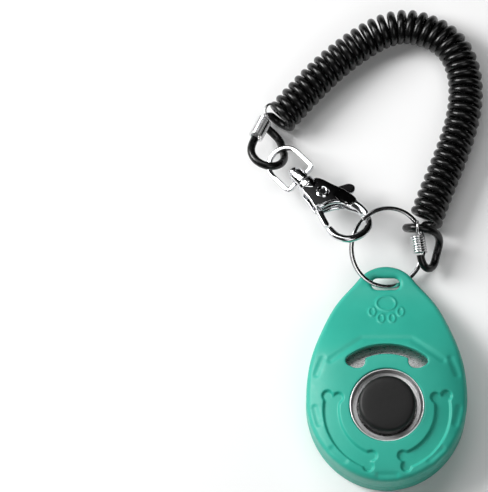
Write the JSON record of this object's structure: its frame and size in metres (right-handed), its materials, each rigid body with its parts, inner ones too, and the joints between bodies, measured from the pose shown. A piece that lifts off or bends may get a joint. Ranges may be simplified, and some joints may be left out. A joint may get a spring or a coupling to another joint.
{
  "type": "clicker trainer",
  "caption": "Egg-shaped dog-training clicker with a push button, a keyring hole, a split ring, a swivel trigger clasp and a curly wrist strap.",
  "frame": {"origin": "on the flat back's resting plane, directly under the centre of the push button", "axes": "+Z out of the front through the button, +Y from the button towards the keyring hole, +X to the right seen from the front"},
  "size_m": [0.0692, 0.1438, 0.0172],
  "materials": {
    "teal_plastic": "satin",
    "black_plastic": "satin",
    "chrome": "polished",
    "spring_steel": "brushed",
    "black_cord": "gloss",
    "dark_plastic": "satin"
  },
  "bodies": {
    "clicker": {"front_shell": "teal_plastic", "back_shell": "teal_plastic", "button_bezel": "chrome", "sound_plate": "chrome", "reed_holder": "dark_plastic", "holder_rivets": "spring_steel"},
    "button": {"button_cap": "black_plastic", "button_plunger": "dark_plastic", "plunger_clip": "spring_steel", "button_spring": "spring_steel"},
    "reed": {"click_reed": "spring_steel"},
    "ring": {"split_ring": "chrome"},
    "strap": {"strap_coil": "black_cord", "strap_end_ring_side": "black_cord", "strap_end_clasp_side": "black_cord", "ferrule_ring_side": "chrome", "ferrule_clasp_side": "chrome"},
    "bail": {"clasp_bail": "chrome"},
    "clasp": {"clasp_body": "chrome", "swivel_post": "chrome", "gate_rivet": "chrome", "gate_spring": "spring_steel"},
    "gate": {"clasp_gate": "chrome"}
  },
  "joints": [
    {"name": "button_press", "type": "slide", "parent": "clicker", "child": "button", "axis": [0, 0, -1], "range_m": [0, 0.0013], "stiffness_N_per_m": 1500, "springref_m": -0.0012, "deforming": ["button_spring"]},
    {"name": "reed_snap", "type": "hinge", "parent": "clicker", "child": "reed", "pos_m": [0, 0.0175, 0.0058], "axis": [1, 0, 0], "range_deg": [0, 4.3]},
    {"name": "lanyard_swing", "type": "hinge", "parent": "clicker", "child": "strap", "pos_m": [0.0005, 0.0377, 0.00485], "axis": [0, 1, 0], "range_deg": [0, 50]},
    {"name": "ring_spin", "type": "hinge", "parent": "strap", "child": "ring", "pos_m": [0.0005, 0.04851, 0.00847], "axis": [0.3746, -0.2942, 0.8793], "continuous": true},
    {"name": "bail_tilt", "type": "hinge", "parent": "strap", "child": "bail", "pos_m": [-0.03233, 0.07719, 0.00717], "axis": [0.6663, -0.7195, 0.1959], "range_deg": [-6, 0]},
    {"name": "clasp_swivel", "type": "hinge", "parent": "bail", "child": "clasp", "pos_m": [-0.0266, 0.071, 0.00885], "axis": [0.6663, -0.7195, 0.1959], "range_deg": [-25, 0]},
    {"name": "gate_open", "type": "hinge", "parent": "clasp", "child": "gate", "pos_m": [-0.01855, 0.06342, 0.0108], "axis": [0.104, 0.3498, 0.931], "range_deg": [0, 25], "stiffness_Nm_per_rad": 0.02, "springref_deg": -20.05}
  ],
  "couplings": [
    {"joint": "reed_snap", "follows": "button_press", "rad_per_m": 57}
  ]
}
